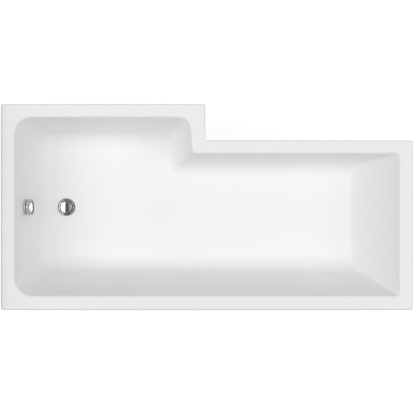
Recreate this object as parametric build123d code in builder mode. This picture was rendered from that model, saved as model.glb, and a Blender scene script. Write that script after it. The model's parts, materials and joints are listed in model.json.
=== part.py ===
from build123d import *
from math import cos, degrees, pi, radians, sin, sqrt, tan
import os

# An L-shaped shower bath on its own feet. Sizes are millimetres. The origin is on the floor under the
# middle of the bath, +X points to the head end, +Y to the side where the narrow part steps back, +Z up.

os.makedirs("parts", exist_ok=True)

# Plan of the rim
overall_length = 1700.0
wide_width = 850.0
narrow_width = 700.0
wide_length = 843.0
step_out = wide_width - narrow_width
rim_tap = 56.0
rim_head = 54.0
rim_back = 58.0
rim_wide = 55.0
rim_narrow = 55.0
rim_step = 53.0
step_slant = 5.0
outer_corner_radius = 8.0

# Heights and thicknesses of the moulding
rim_height = 540.0
well_depth = 390.0
acrylic = 5.0
rim_depth = 38.0
rim_edge_radius = 6.0
lip_share_of_step = 0.08
lip_radius = step_out * lip_share_of_step
bond_gap = 0.3
backing = 3.0
floor_fall = 0.35

# Each wall leans back by its draft, in degrees, and meets the floor in an arc of its blend radius. The
# blends and corners at the step are shares of how far the wide part stands out, so that they fit in it.
step_blend_share = 0.27
wide_blend_share = 0.55
draft_tap, blend_tap = 10.0, 68.0
draft_back, blend_back = 15.0, 86.0
draft_head, blend_head = 24.0, 40.0
draft_narrow, blend_narrow = 5.5, 68.0
draft_step, blend_step = 12.0, step_out * step_blend_share
draft_wide, blend_wide = 9.0, step_out * wide_blend_share
corner_tap_back = 75.0
corner_back_head = 12.0
corner_head_narrow = 12.0
inner_step_corner_share = 0.134
corner_at_step = step_out * inner_step_corner_share
outer_step_corner_share = 0.3
corner_step_wide = step_out * outer_step_corner_share
corner_wide_tap = 70.0
smallest_corner = 8.0
arc_sections = 9

# Base board, rim battens and cross rails
board_thickness = 18.0
board_shorter_than_bath = 600.0
board_length = overall_length - board_shorter_than_bath
board_width = 310.0
board_from_waste = 69.0
board_from_back = 230.0
batten_width = 36.0
batten_height = 20.0
joint_gap = 0.3
rail_width = 40.0
rail_depth = 22.0
steel = 2.0
rail_overhang = 25.0
rail_from_board_tap_end = 110.0
rail_from_board_head_end = 80.0
leg_from_back = 125.0
leg_from_wide = 110.0
leg_from_narrow = 70.0
rail_screw_pitch = 110.0

# Feet
rod_radius = 6.0
rod_above_board_bottom = 28.3
centre_rod_below_board = 17.7
thread_clearance = 0.06
hole_clearance = 0.5
nut_flats = 18.0
nut_height = 10.0
pad_radius = 25.0
pad_rim = 5.0
pad_neck_radius = 12.0
pad_height = 18.0
pad_sole = 6.0
hat_width = 50.0
hat_length = 60.0
hat_flange = 22.0
hat_share_of_height = 0.5

# Wood screws
screw_radius = 2.25
screw_length = 15.0
screw_head_radius = 4.5
screw_head_height = 2.5
pilot_clearance = 0.05

# Wall brackets
bracket_width = 40.0
bracket_reach = 32.0
bracket_drop = 56.0
bracket_hole_radius = 3.25
bracket_hole_pitch = 24.0
bracket_from_end = 330.0
bracket_screw_pitch = 20.0

# Waste outlet
waste_from_tap = 241.0
waste_hole_radius = 26.0
recess_radius = 38.0
recess_depth = 3.0
boss_short_of_floor = 1.0
seal_thickness = 1.5
seal_radius = 36.8
flange_radius = 35.0
brim_thickness = 3.0
brim_lip = 2.0
dish_radius = 29.0
dish_depth = 5.0
tail_radius = 23.9
bore_radius = 20.0
collar_radius = 25.5
collar_drop = 3.5
flange_tube_length = 26.5
lower_seal_thickness = 3.0
lower_seal_radius = 35.0
body_ring_radius = 36.0
body_ring_thickness = 4.0
body_radius = 34.0
body_wall = 3.0
body_collar_height = 12.0
chamber_height = 32.0
cone_height = 9.0
tail_bore_radius = 19.5
tail_length = 26.0
tail_ring_width = 3.0
backing_waste_radius = 50.0

# Pop-up plug
plug_travel = 10.0
cap_radius = 24.5
cap_edge = 2.4
cap_crown = 1.4
cap_over_brim = 1.0
hub_radius = 12.0
hub_height = 2.5
plug_seal_radius = 22.0
stem_radius = 3.5
stem_length = 46.0
running_gap = 0.05
guide_radius = 6.5
guide_length = 10.0
guide_above_tube_end = 2.0
spider_bar_width = 3.0
spider_bar_height = 5.0
spider_bar_bite = 0.5

# Lift lever under the plug
lever_reach = 22.0
lever_height = 5.0
lever_width = 4.0
lever_eye_radius = 4.5
lever_input = 12.0
pin_radius = 1.5
tip_gap = 0.3
gland_radius = 5.0
gland_length = 12.0

# Overflow
overflow_depth = 160.0
overflow_hole_radius = 26.0
wall_cut = 20.0
overflow_plate_radius = 34.0
overflow_plate_height = 9.0
plate_wall = 3.0
plate_cavity_radius = 27.0
plate_edge_radius = 2.5
inlet_hole_radius = 3.5
inlet_circle_radius = 14.5
inlet_count = 8
knob_gap = 3.0
knob_radius = 34.0
knob_length = 20.0
knob_wall = 3.5
knob_edge_radius = 3.0
knob_hub_radius = 9.0
spindle_radius = 4.0
spindle_behind = 36.0
plate_hub_radius = 7.5
plate_hub_behind = 12.0
grub_radius = 2.5
grub_access_radius = 3.0
grub_hexagon_radius = 1.25
grub_access_start = 1.0
elbow_seal_thickness = 3.0
elbow_flange_radius = 36.0
elbow_flange_thickness = 3.0
elbow_radius = 30.0
elbow_wall = 3.0
elbow_back = 45.0
crank_thickness = 5.0
crank_reach = 14.0
crank_end_radius = 3.0
crank_eye_radius = 7.0
fixing_radius = 2.0
fixing_circle_radius = 21.5
fixing_head_radius = 3.8
fixing_head_height = 2.2
fixing_boss_radius = 6.2
fixing_boss_depth = 20.0
backing_overflow_radius = 40.0

# Overflow hose
spigot_radius = 10.4
spigot_bore_radius = 8.0
spigot_length = 24.0
shoulder_radius = 13.0
shoulder_length = 5.0
spigot_behind = 28.0
hose_bore_radius = 10.5
hose_valley_radius = 11.9
hose_rib_radius = 13.6
hose_cuff_radius = 12.6
hose_cuff_length = 27.0
hose_rib_pitch = 5.0
hose_bend_radius = 74.0
branch_drop = 38.0
clip_width = 9.0
clip_thickness = 0.9
clip_from_shoulder = 8.0
clip_box = 8.0
clip_box_length = 12.0

# Control cable
cable_radius = 2.5
wire_bore_radius = 1.25
cable_socket_depth = 6.0
cable_behind = 38.0
cable_offset = 19.0
cable_gland_length = 12.0
cable_bend_share = 0.45

# Hand-laid points of the cable. Beside the hose each is (share of the hose's drop, towards the head end,
# across), from the elbow's gland. At the waste body each is (towards the head end, across, up), from its
# gland.
cable_beside_hose = [(0.2272, 0, 0), (0.4543, 0, 3), (0.6742, 2, 9), (0.8721, 14, 22)]
cable_at_waste = [(-106, 10, 8), (-66, 42, 0), (-18, 62, 0), (0, 36, 0)]

# Places worked out from the sizes
tap_edge = -overall_length / 2
head_edge = overall_length / 2
back_edge = -wide_width / 2
wide_edge = wide_width / 2
narrow_edge = back_edge + narrow_width
step_edge = tap_edge + wide_length
tap_lip = tap_edge + rim_tap
head_lip = head_edge - rim_head
back_lip = back_edge + rim_back
wide_lip = wide_edge - rim_wide
narrow_lip = narrow_edge - rim_narrow
step_lip = step_edge - rim_step
floor_level = rim_height - well_depth
waste_x = tap_edge + waste_from_tap
waste_y = 0.0
deck_underside = rim_height - acrylic
backing_top = deck_underside - (lip_radius - acrylic) - bond_gap
backing_bottom = floor_level - acrylic - bond_gap - backing
board_bottom = backing_bottom - board_thickness

WALLS = {
    "tap": (draft_tap, blend_tap),
    "back": (draft_back, blend_back),
    "head": (draft_head, blend_head),
    "narrow": (draft_narrow, blend_narrow),
    "step": (draft_step, blend_step),
    "wide": (draft_wide, blend_wide),
}
largest_blend = max(blend for draft, blend in WALLS.values())


def finish(piece, name):
    """Labels a finished piece and writes it."""
    piece.part.label = name
    export_step(piece.part, f"parts/{name}.step")


def wall_inset(wall, height, grow):
    """How far a wall stands in from its lip line, and how much of that is its floor blend.

    height is above the floor of the well, and grow is how far the well is offset outwards all over.
    """
    draft, blend = WALLS[wall]
    lean = radians(draft)
    radius = blend + grow
    depth = well_depth + grow
    straight = (depth - height) * tan(lean) - grow / cos(lean)
    if height >= radius * (1 - sin(lean)):
        return straight, 0.0
    arc_centre = depth * tan(lean) - grow / cos(lean) + radius * (1 - sin(lean)) / cos(lean)
    inset = arc_centre - sqrt(radius**2 - (radius - height) ** 2)
    return inset, inset - straight


def well_section(height, grow, fall):
    """One level outline of the bath's inside, on a plane that falls towards the waste."""
    inset = {}
    blended = {}
    for wall in WALLS:
        inset[wall], blended[wall] = wall_inset(wall, height, grow)
    x_tap = tap_lip + inset["tap"]
    x_head = head_lip - inset["head"]
    y_back = back_lip + inset["back"]
    y_narrow = narrow_lip - inset["narrow"]
    y_wide = wide_lip - inset["wide"]
    slant = tan(radians(step_slant))
    x_step_near = step_lip - inset["step"] - (y_narrow - narrow_lip) * slant
    x_step_far = step_lip - inset["step"] - (y_wide - narrow_lip) * slant
    corners = [
        (x_tap, y_back),
        (x_head, y_back),
        (x_head, y_narrow),
        (x_step_near, y_narrow),
        (x_step_far, y_wide),
        (x_tap, y_wide),
    ]

    def inward(first, second, radius):
        shrunk = radius - min(blended[first], blended[second])
        return max(shrunk, smallest_corner) + grow

    radii = [
        inward("tap", "back", corner_tap_back),
        inward("back", "head", corner_back_head),
        inward("head", "narrow", corner_head_narrow),
        corner_at_step + min(blended["narrow"], blended["step"]) - grow,
        inward("step", "wide", corner_step_wide),
        inward("wide", "tap", corner_wide_tap),
    ]
    tilt = radians(fall)
    plane = Plane(
        origin=(waste_x, 0, floor_level - grow + height),
        x_dir=(cos(tilt), 0, sin(tilt)),
        z_dir=(-sin(tilt), 0, cos(tilt)),
    )
    with BuildSketch(plane) as section:
        with BuildLine():
            FilletPolyline(*[(x - waste_x, y) for x, y in corners], radius=radii, close=True)
        make_face()
    return section.sketch


def well(grow, top, fall, mode):
    """The space inside the bath, offset outwards by grow: straight walls over a rounded bowl."""
    bowl_height = largest_blend + grow
    step_angle = 90 / (arc_sections - 1)
    heights = [bowl_height * (1 - cos(radians(i * step_angle))) for i in range(arc_sections)]
    bowl = [well_section(height, grow, fall) for height in heights]
    loft(sections=bowl, mode=mode)
    rim_section = well_section(top - floor_level + grow, grow, 0)
    loft(sections=[bowl[-1], rim_section], ruled=True, mode=mode)


def rim_outline(plane, inset):
    """The L outline of the rim, drawn in by inset."""
    with BuildSketch(plane) as outline:
        with BuildLine():
            Polyline(
                (tap_edge + inset, back_edge + inset),
                (head_edge - inset, back_edge + inset),
                (head_edge - inset, narrow_edge - inset),
                (step_edge - inset, narrow_edge - inset),
                (step_edge - inset, wide_edge - inset),
                (tap_edge + inset, wide_edge - inset),
                close=True,
            )
        make_face()
    return outline.sketch


def half_section(plane, points):
    """Half the cross-section of a turned piece, as (radius, height) points."""
    with BuildSketch(plane) as section:
        with BuildLine():
            Polyline(*points, close=True)
        make_face()
    return section.sketch


def turned_ring(plane, axis, inner, outer, low, high):
    """A plain ring about an axis, cut or added where it is called."""
    points = [(inner, low), (outer, low), (outer, high), (inner, high)]
    revolve(half_section(plane, points), axis=axis)


# The waste's own axis, and the plane that its half sections are drawn on
waste_axis = Axis((waste_x, waste_y, 0), (0, 0, 1))
waste_half = Plane(origin=(waste_x, waste_y, 0), x_dir=(1, 0, 0), z_dir=(0, -1, 0))

# The overflow's axis stands square to the tap end wall and points into the bath
overflow_lean = radians(draft_tap)
overflow_point = Vector(tap_lip + overflow_depth * tan(overflow_lean), waste_y, rim_height - overflow_depth)
overflow_out = Vector(cos(overflow_lean), 0, sin(overflow_lean))
overflow_down = Vector(sin(overflow_lean), 0, -cos(overflow_lean))
overflow_axis = Axis(overflow_point, overflow_out)
overflow_face = Plane(origin=overflow_point, x_dir=(0, 1, 0), z_dir=overflow_out)
overflow_half = Plane(origin=overflow_point, x_dir=(0, 1, 0), z_dir=Vector(0, 1, 0).cross(overflow_out))

# Bath shell: a rim with a turned-down edge, and the well hanging in it
shell_boss_radius = recess_radius + acrylic
recess_floor = floor_level - recess_depth
boss_underside = recess_floor - acrylic
with BuildPart() as bath_shell:
    extrude(rim_outline(Plane.XY.offset(rim_height), 0), amount=-rim_depth)
    fillet(bath_shell.edges().filter_by(Axis.Z), outer_corner_radius)
    under_rim = rim_outline(Plane.XY.offset(deck_underside), acrylic)
    extrude(under_rim, amount=-rim_depth, mode=Mode.SUBTRACT)
    well(acrylic, rim_height - acrylic / 2, floor_fall, Mode.ADD)
    with BuildSketch(Plane.XY.offset(boss_underside)):
        with Locations((waste_x, waste_y)):
            Circle(shell_boss_radius)
    extrude(amount=floor_level - boss_short_of_floor - boss_underside)
    well(0, rim_height + lip_radius, floor_fall, Mode.SUBTRACT)
    deck = bath_shell.faces().filter_by(GeomType.PLANE).sort_by(Axis.Z)[-1]
    fillet(deck.inner_wires()[0].edges(), lip_radius)
    deck = bath_shell.faces().filter_by(GeomType.PLANE).sort_by(Axis.Z)[-1]
    fillet(deck.outer_wire().edges(), rim_edge_radius)
    level_faces = bath_shell.faces().filter_by(Axis.Z)
    under_deck = level_faces.filter_by_position(Axis.Z, deck_underside - joint_gap, deck_underside + joint_gap)[0]
    fillet(under_deck.inner_wires()[0].edges(), lip_radius - acrylic)
    with BuildSketch(Plane.XY.offset(recess_floor)):
        with Locations((waste_x, waste_y)):
            Circle(recess_radius)
    extrude(amount=recess_depth + acrylic, mode=Mode.SUBTRACT)
    with BuildSketch(Plane.XY.offset(floor_level)):
        with Locations((waste_x, waste_y)):
            Circle(waste_hole_radius)
    extrude(amount=-floor_level, mode=Mode.SUBTRACT)
    with BuildSketch(overflow_face):
        Circle(overflow_hole_radius)
    extrude(amount=wall_cut, both=True, mode=Mode.SUBTRACT)
finish(bath_shell, "bath_shell")

# Glass-fibre backing: sprayed on the back of the well, built up level under the falling floor
with BuildPart() as glassfibre_backing:
    well(acrylic + bond_gap + backing, backing_top, 0, Mode.ADD)
    well(acrylic + bond_gap, backing_top + acrylic, floor_fall, Mode.SUBTRACT)
    with BuildSketch(Plane.XY.offset(floor_level)):
        with Locations((waste_x, waste_y)):
            Circle(backing_waste_radius)
    extrude(amount=-floor_level, mode=Mode.SUBTRACT)
    with BuildSketch(overflow_face):
        Circle(backing_overflow_radius)
    extrude(amount=-wall_cut, mode=Mode.SUBTRACT)
finish(glassfibre_backing, "glassfibre_backing")

# Base board: chipboard under the flat of the floor, with pilot holes for the screws into it
board_x_min = waste_x + board_from_waste
board_x_max = board_x_min + board_length
rail_tap_x = board_x_min + rail_from_board_tap_end
rail_head_x = board_x_max - rail_from_board_head_end
board_y_min = back_edge + board_from_back
board_y_max = board_y_min + board_width
board_middle = Vector((board_x_min + board_x_max) / 2, (board_y_min + board_y_max) / 2)
rail_screw_places = [
    (x, board_middle.Y + i * rail_screw_pitch) for x in (rail_tap_x, rail_head_x) for i in (-1, 0, 1)
]
hat_x = (rail_tap_x + rail_head_x) / 2
hat_screw_places = [
    (hat_x + side * (hat_width / 2 + hat_flange / 2), board_middle.Y + i * hat_length / 4)
    for side in (-1, 1)
    for i in (-1, 1)
]
board_screw_places = rail_screw_places + hat_screw_places
with BuildPart() as base_board:
    with BuildSketch(Plane.XY.offset(board_bottom)):
        with Locations((board_middle.X, board_middle.Y)):
            Rectangle(board_length, board_width)
    extrude(amount=board_thickness)
    with BuildSketch(Plane.XY.offset(board_bottom)):
        with Locations(*board_screw_places):
            Circle(screw_radius + pilot_clearance)
    extrude(amount=screw_length - steel + pilot_clearance, mode=Mode.SUBTRACT)
finish(base_board, "base_board")


# Rim battens: timber under the deck, just inside the turned-down edge, butted at the corners
batten_top = deck_underside - joint_gap
batten_bottom = batten_top - batten_height
side_gap = acrylic + joint_gap
tap_side = tap_edge + side_gap
head_side = head_edge - side_gap
back_side = back_edge + side_gap
wide_side = wide_edge - side_gap
narrow_side = narrow_edge - side_gap
step_side = step_edge - side_gap
bracket_x = overall_length / 2 - bracket_from_end
bracket_places = {
    "wall_bracket_left": Plane(origin=(-bracket_x, back_side, batten_bottom), x_dir=(1, 0, 0)),
    "wall_bracket_right": Plane(origin=(bracket_x, back_side, batten_bottom), x_dir=(1, 0, 0)),
    "wall_bracket_tap_end": Plane(origin=(tap_side, waste_y, batten_bottom), x_dir=(0, -1, 0)),
}
bracket_screw_places = [
    plane.from_local_coords(Vector(i * bracket_screw_pitch / 2, bracket_reach / 2, 0))
    for plane in bracket_places.values()
    for i in (-1, 1)
]


def batten(x_min, x_max, y_min, y_max, name):
    """One batten as long and wide as its box in plan, with pilot holes under any wall bracket."""
    with BuildPart() as piece:
        with BuildSketch(Plane.XY.offset(batten_bottom)):
            with Locations(((x_min + x_max) / 2, (y_min + y_max) / 2)):
                Rectangle(x_max - x_min, y_max - y_min)
        extrude(amount=batten_height)
        inside = [p for p in bracket_screw_places if x_min < p.X < x_max and y_min < p.Y < y_max]
        if inside:
            with BuildSketch(Plane.XY.offset(batten_bottom)):
                with Locations(*[(p.X, p.Y) for p in inside]):
                    Circle(screw_radius + pilot_clearance)
            extrude(amount=screw_length - steel + pilot_clearance, mode=Mode.SUBTRACT)
    finish(piece, name)


batten_across = batten_width + joint_gap
batten(tap_side, head_side, back_side, back_side + batten_width, "batten_back")
batten(tap_side, tap_side + batten_width, back_side + batten_across, wide_side, "batten_tap_end")
batten(tap_side + batten_across, step_side, wide_side - batten_width, wide_side, "batten_front_wide")
batten(
    step_side - batten_width,
    step_side,
    narrow_side + joint_gap,
    wide_side - batten_across,
    "batten_step",
)
batten(
    step_side - batten_width,
    head_side - batten_across,
    narrow_side - batten_width,
    narrow_side,
    "batten_front_narrow",
)
batten(head_side - batten_width, head_side, back_side + batten_across, narrow_side, "batten_head_end")

# Cross rails: steel channels under the board, drilled for the feet and for the screws into the board
back_leg_y = back_edge + leg_from_back
wide_leg_y = wide_edge - leg_from_wide
narrow_leg_y = narrow_edge - leg_from_narrow
rail_plate_bottom = board_bottom - steel


def cross_rail(x, front_leg_y, name):
    """A channel, open below, from one foot to the other."""
    y_min = back_leg_y - rail_overhang
    y_max = front_leg_y + rail_overhang
    with BuildPart() as rail:
        with BuildSketch(Plane.XY.offset(board_bottom)):
            with Locations((x, (y_min + y_max) / 2)):
                Rectangle(rail_width, y_max - y_min)
        extrude(amount=-rail_depth)
        fillet(rail.edges().filter_by(Axis.Y).group_by(Axis.Z)[-1], steel)
        with BuildSketch(Plane.XY.offset(rail_plate_bottom)):
            with Locations((x, (y_min + y_max) / 2)):
                Rectangle(rail_width - 2 * steel, y_max - y_min)
        extrude(amount=-rail_depth, mode=Mode.SUBTRACT)
        with BuildSketch(Plane.XY.offset(board_bottom)):
            with Locations((x, back_leg_y), (x, front_leg_y)):
                Circle(rod_radius + hole_clearance)
            with Locations(*[place for place in rail_screw_places if place[0] == x]):
                Circle(screw_radius + hole_clearance)
        extrude(amount=-steel, mode=Mode.SUBTRACT)
    finish(rail, name)


cross_rail(rail_tap_x, wide_leg_y, "cross_rail_tap_end")
cross_rail(rail_head_x, narrow_leg_y, "cross_rail_head_end")

# Centre foot bracket: a hat section screwed under the board, deep enough for the rod to rise in
hat_plate_top = board_bottom * (1 - hat_share_of_height) + steel
with BuildPart() as centre_foot_bracket:
    with BuildSketch(Plane.XZ.offset(-(board_middle.Y + hat_length / 2))):
        with BuildLine():
            Polyline(
                (hat_x - hat_width / 2 - hat_flange, board_bottom),
                (hat_x - hat_width / 2, board_bottom),
                (hat_x - hat_width / 2, hat_plate_top),
                (hat_x + hat_width / 2, hat_plate_top),
                (hat_x + hat_width / 2, board_bottom),
                (hat_x + hat_width / 2 + hat_flange, board_bottom),
                (hat_x + hat_width / 2 + hat_flange, board_bottom - steel),
                (hat_x + hat_width / 2 + steel, board_bottom - steel),
                (hat_x + hat_width / 2 + steel, hat_plate_top - steel),
                (hat_x - hat_width / 2 - steel, hat_plate_top - steel),
                (hat_x - hat_width / 2 - steel, board_bottom - steel),
                (hat_x - hat_width / 2 - hat_flange, board_bottom - steel),
                close=True,
            )
        make_face()
    extrude(amount=hat_length)
    with BuildSketch(Plane.XY.offset(hat_plate_top)):
        with Locations((hat_x, board_middle.Y)):
            Circle(rod_radius + hole_clearance)
    extrude(amount=-steel, mode=Mode.SUBTRACT)
    with BuildSketch(Plane.XY.offset(board_bottom)):
        with Locations(*hat_screw_places):
            Circle(screw_radius + hole_clearance)
    extrude(amount=-steel, mode=Mode.SUBTRACT)
finish(centre_foot_bracket, "centre_foot_bracket")

# Feet: a threaded rod and a plastic pad at each, numbered from the tap end's back corner
rod_top = board_bottom + rod_above_board_bottom
centre_rod_top = board_bottom - centre_rod_below_board
legs = [
    (rail_tap_x, back_leg_y, board_bottom, rod_top),
    (rail_tap_x, wide_leg_y, board_bottom, rod_top),
    (rail_head_x, back_leg_y, board_bottom, rod_top),
    (rail_head_x, narrow_leg_y, board_bottom, rod_top),
    (hat_x, board_middle.Y, hat_plate_top, centre_rod_top),
]


def foot(number, x, y, top):
    """The pad stands on the floor and the rod stands in its socket."""
    axis = Axis((x, y, 0), (0, 0, 1))
    half = Plane(origin=(x, y, 0), x_dir=(1, 0, 0), z_dir=(0, -1, 0))
    with BuildPart() as rod:
        with BuildSketch(Plane.XY.offset(pad_sole)):
            with Locations((x, y)):
                Circle(rod_radius)
        extrude(amount=top - pad_sole)
        chamfer(rod.edges().sort_by(Axis.Z)[-1], rod_radius / 6)
    finish(rod, f"foot_rod_{number}")
    socket_radius = rod_radius + thread_clearance
    with BuildPart() as pad:
        profile = [
            (0, 0),
            (pad_radius, 0),
            (pad_radius, pad_rim),
            (pad_neck_radius, pad_height - pad_rim),
            (pad_neck_radius, pad_height),
            (socket_radius, pad_height),
            (socket_radius, pad_sole),
            (0, pad_sole),
        ]
        revolve(half_section(half, profile), axis=axis)
    finish(pad, f"foot_pad_{number}")


for number, (x, y, plate_top, top) in enumerate(legs, start=1):
    foot(number, x, y, top)

# Foot nuts: one above and one below each plate that a rod passes through
with BuildPart() as foot_nuts:
    for x, y, plate_top, top in legs:
        for low in (plate_top, plate_top - steel - nut_height):
            with BuildSketch(Plane.XY.offset(low)):
                with Locations((x, y)):
                    RegularPolygon(nut_flats / 2, 6, major_radius=False)
                    Circle(rod_radius + thread_clearance, mode=Mode.SUBTRACT)
            extrude(amount=nut_height)
finish(foot_nuts, "foot_nuts")


def wood_screws(places, plate_bottom):
    """Pan-head screws driven up through a plate into the wood above it."""
    for x, y in places:
        axis = Axis((x, y, 0), (0, 0, 1))
        half = Plane(origin=(x, y, plate_bottom), x_dir=(1, 0, 0), z_dir=(0, -1, 0))
        profile = [
            (0, -screw_head_height),
            (screw_head_radius / 2, -screw_head_height),
            (screw_head_radius, -screw_head_height / 3),
            (screw_head_radius, 0),
            (screw_radius, 0),
            (screw_radius, screw_length - 2 * screw_radius),
            (0, screw_length),
        ]
        revolve(half_section(half, profile), axis=axis)


with BuildPart() as frame_screws:
    wood_screws(board_screw_places, rail_plate_bottom)
finish(frame_screws, "frame_screws")

with BuildPart() as bracket_screws:
    wood_screws([(p.X, p.Y) for p in bracket_screw_places], batten_bottom - steel)
finish(bracket_screws, "bracket_screws")


def wall_bracket(name, plane):
    """A steel angle: one leg is screwed up into the batten, the other hangs down along the wall."""
    with BuildPart() as bracket:
        with BuildSketch(plane):
            with Locations((0, bracket_reach / 2)):
                Rectangle(bracket_width, bracket_reach)
            with Locations(*[(i * bracket_screw_pitch / 2, bracket_reach / 2) for i in (-1, 1)]):
                Circle(screw_radius + hole_clearance, mode=Mode.SUBTRACT)
        extrude(amount=-steel)
        hanging = Plane(origin=plane.origin, x_dir=plane.x_dir, z_dir=-plane.y_dir)
        with BuildSketch(hanging):
            with Locations((0, -bracket_drop / 2)):
                RectangleRounded(bracket_width, bracket_drop, steel)
            with Locations((0, -bracket_drop + bracket_hole_pitch + 2 * bracket_hole_radius)):
                Circle(bracket_hole_radius, mode=Mode.SUBTRACT)
            with Locations((0, -bracket_drop + 2 * bracket_hole_radius)):
                Circle(bracket_hole_radius, mode=Mode.SUBTRACT)
        extrude(amount=-steel)
    finish(bracket, name)


for name, plane in bracket_places.items():
    wall_bracket(name, plane)

# Waste seals: a thin ring in the recess under the flange, and a thick one under the boss
flange_seat = recess_floor + seal_thickness
body_top = boss_underside - lower_seal_thickness
with BuildPart() as waste_seal_upper:
    turned_ring(waste_half, waste_axis, collar_radius + joint_gap, seal_radius, recess_floor, flange_seat)
finish(waste_seal_upper, "waste_seal_upper")

with BuildPart() as waste_seal_lower:
    turned_ring(waste_half, waste_axis, collar_radius + joint_gap, lower_seal_radius, body_top, boss_underside)
finish(waste_seal_lower, "waste_seal_lower")

# Waste flange: brim, dished mouth and threaded tube, with a guide for the plug's stem on four bars
brim_top = flange_seat + brim_thickness
tube_end = flange_seat - flange_tube_length
guide_low = tube_end + guide_above_tube_end
spider_span = 2 * (bore_radius + spider_bar_bite)
with BuildPart() as waste_flange:
    profile = [
        (bore_radius, tube_end),
        (tail_radius, tube_end),
        (tail_radius, flange_seat - collar_drop),
        (collar_radius, flange_seat - collar_drop),
        (collar_radius, flange_seat),
        (flange_radius, flange_seat),
        (flange_radius, flange_seat + brim_lip / 2),
        (flange_radius - brim_lip, brim_top),
        (dish_radius, brim_top),
        (bore_radius, brim_top - dish_depth),
    ]
    revolve(half_section(waste_half, profile), axis=waste_axis)
    with BuildSketch(Plane.XY.offset(guide_low + (guide_length - spider_bar_height) / 2)):
        with Locations((waste_x, waste_y)):
            Rectangle(spider_span, spider_bar_width)
            Rectangle(spider_bar_width, spider_span)
    extrude(amount=spider_bar_height)
    with BuildSketch(Plane.XY.offset(guide_low)):
        with Locations((waste_x, waste_y)):
            Circle(guide_radius)
    extrude(amount=guide_length)
    with BuildSketch(Plane.XY.offset(guide_low)):
        with Locations((waste_x, waste_y)):
            Circle(stem_radius + running_gap)
    extrude(amount=guide_length, mode=Mode.SUBTRACT)
finish(waste_flange, "waste_flange")

# Pop-up plug, drawn raised: cap, rubber ring round its hub, and the stem that the lever lifts
hub_top = brim_top - cap_over_brim + plug_travel
hub_low = hub_top - hub_height
with BuildPart() as plug_cap:
    with BuildSketch(waste_half):
        with BuildLine():
            Line((0, hub_low), (hub_radius, hub_low))
            Line((hub_radius, hub_low), (hub_radius, hub_top))
            Line((hub_radius, hub_top), (cap_radius, hub_top))
            Line((cap_radius, hub_top), (cap_radius, hub_top + cap_edge))
            ThreePointArc(
                (cap_radius, hub_top + cap_edge),
                (cap_radius / 2, hub_top + cap_edge + cap_crown * 3 / 4),
                (0, hub_top + cap_edge + cap_crown),
            )
            Line((0, hub_top + cap_edge + cap_crown), (0, hub_low))
        make_face()
    revolve(axis=waste_axis)
    round_edges = plug_cap.edges().filter_by(GeomType.CIRCLE)
    fillet(round_edges.filter_by(lambda edge: abs(edge.radius - cap_radius) < running_gap), cap_edge / 4)
finish(plug_cap, "plug_cap")

with BuildPart() as plug_seal:
    turned_ring(waste_half, waste_axis, hub_radius, plug_seal_radius, hub_low, hub_top)
finish(plug_seal, "plug_seal")

stem_low = hub_low - stem_length
with BuildPart() as plug_stem:
    with BuildSketch(Plane.XY.offset(hub_low)):
        with Locations((waste_x, waste_y)):
            Circle(stem_radius)
    extrude(amount=-(stem_length - stem_radius))
    with Locations((waste_x, waste_y, stem_low + stem_radius)):
        Sphere(stem_radius)
finish(plug_stem, "plug_stem")

# Waste body: a plastic chamber with the threaded tail below, the hose branch at the tap end and a
# gland for the control cable
collar_bottom = body_top - body_collar_height
chamber_bottom = collar_bottom - chamber_height
cone_bottom = chamber_bottom - cone_height
tail_bottom = cone_bottom - tail_length
chamber_radius = body_radius - body_wall
lever_x = waste_x
lever_y = waste_y + lever_reach
lever_z = stem_low - tip_gap - lever_height / 2
branch_z = boss_underside - branch_drop + shoulder_radius - spigot_radius
gland_z = lever_z - lever_input
branch_start = Vector(waste_x - body_radius, waste_y, branch_z)
with BuildPart() as waste_body:
    profile = [
        (tail_radius + thread_clearance, body_top),
        (body_ring_radius, body_top),
        (body_ring_radius, body_top - body_ring_thickness),
        (body_radius, body_top - body_ring_thickness),
        (body_radius, chamber_bottom),
        (tail_radius + tail_ring_width, cone_bottom),
        (tail_radius, cone_bottom),
        (tail_radius, tail_bottom),
        (tail_bore_radius, tail_bottom),
        (tail_bore_radius, cone_bottom + body_wall),
        (chamber_radius, chamber_bottom + body_wall),
        (chamber_radius, collar_bottom),
        (tail_radius + thread_clearance, collar_bottom),
    ]
    revolve(half_section(waste_half, profile), axis=waste_axis)
    branch_plane = Plane(origin=branch_start, x_dir=(0, 1, 0), z_dir=(-1, 0, 0))
    with BuildSketch(branch_plane.offset(-body_wall)):
        Circle(shoulder_radius)
    extrude(amount=body_wall + shoulder_length)
    with BuildSketch(branch_plane.offset(shoulder_length)):
        Circle(spigot_radius)
    extrude(amount=spigot_length)
    with BuildSketch(branch_plane.offset(-2 * body_wall)):
        Circle(spigot_bore_radius)
    extrude(amount=2 * body_wall + shoulder_length + spigot_length, mode=Mode.SUBTRACT)
    gland_plane = Plane(origin=(waste_x, waste_y + body_radius, gland_z), x_dir=(1, 0, 0), z_dir=(0, 1, 0))
    with BuildSketch(gland_plane.offset(-body_wall / 2)):
        Circle(gland_radius)
    extrude(amount=gland_length + body_wall / 2)
    with BuildSketch(gland_plane.offset(gland_length - cable_socket_depth)):
        Circle(cable_radius + thread_clearance)
    extrude(amount=cable_socket_depth, mode=Mode.SUBTRACT)
    with BuildSketch(gland_plane.offset(-2 * body_wall)):
        Circle(wire_bore_radius)
    extrude(amount=2 * body_wall + gland_length, mode=Mode.SUBTRACT)
    with BuildSketch(Plane.YZ.offset(waste_x)):
        with Locations((lever_y, lever_z)):
            Circle(pin_radius + pilot_clearance)
    extrude(amount=body_radius, both=True, mode=Mode.SUBTRACT)
finish(waste_body, "waste_body")

# Lever pin: crosses the chamber beside the tail's bore
pin_half_length = sqrt(body_radius**2 - lever_reach**2) - joint_gap
with BuildPart() as lever_pin:
    with BuildSketch(Plane.YZ.offset(waste_x)):
        with Locations((lever_y, lever_z)):
            Circle(pin_radius)
    extrude(amount=pin_half_length, both=True)
finish(lever_pin, "lever_pin")

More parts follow.
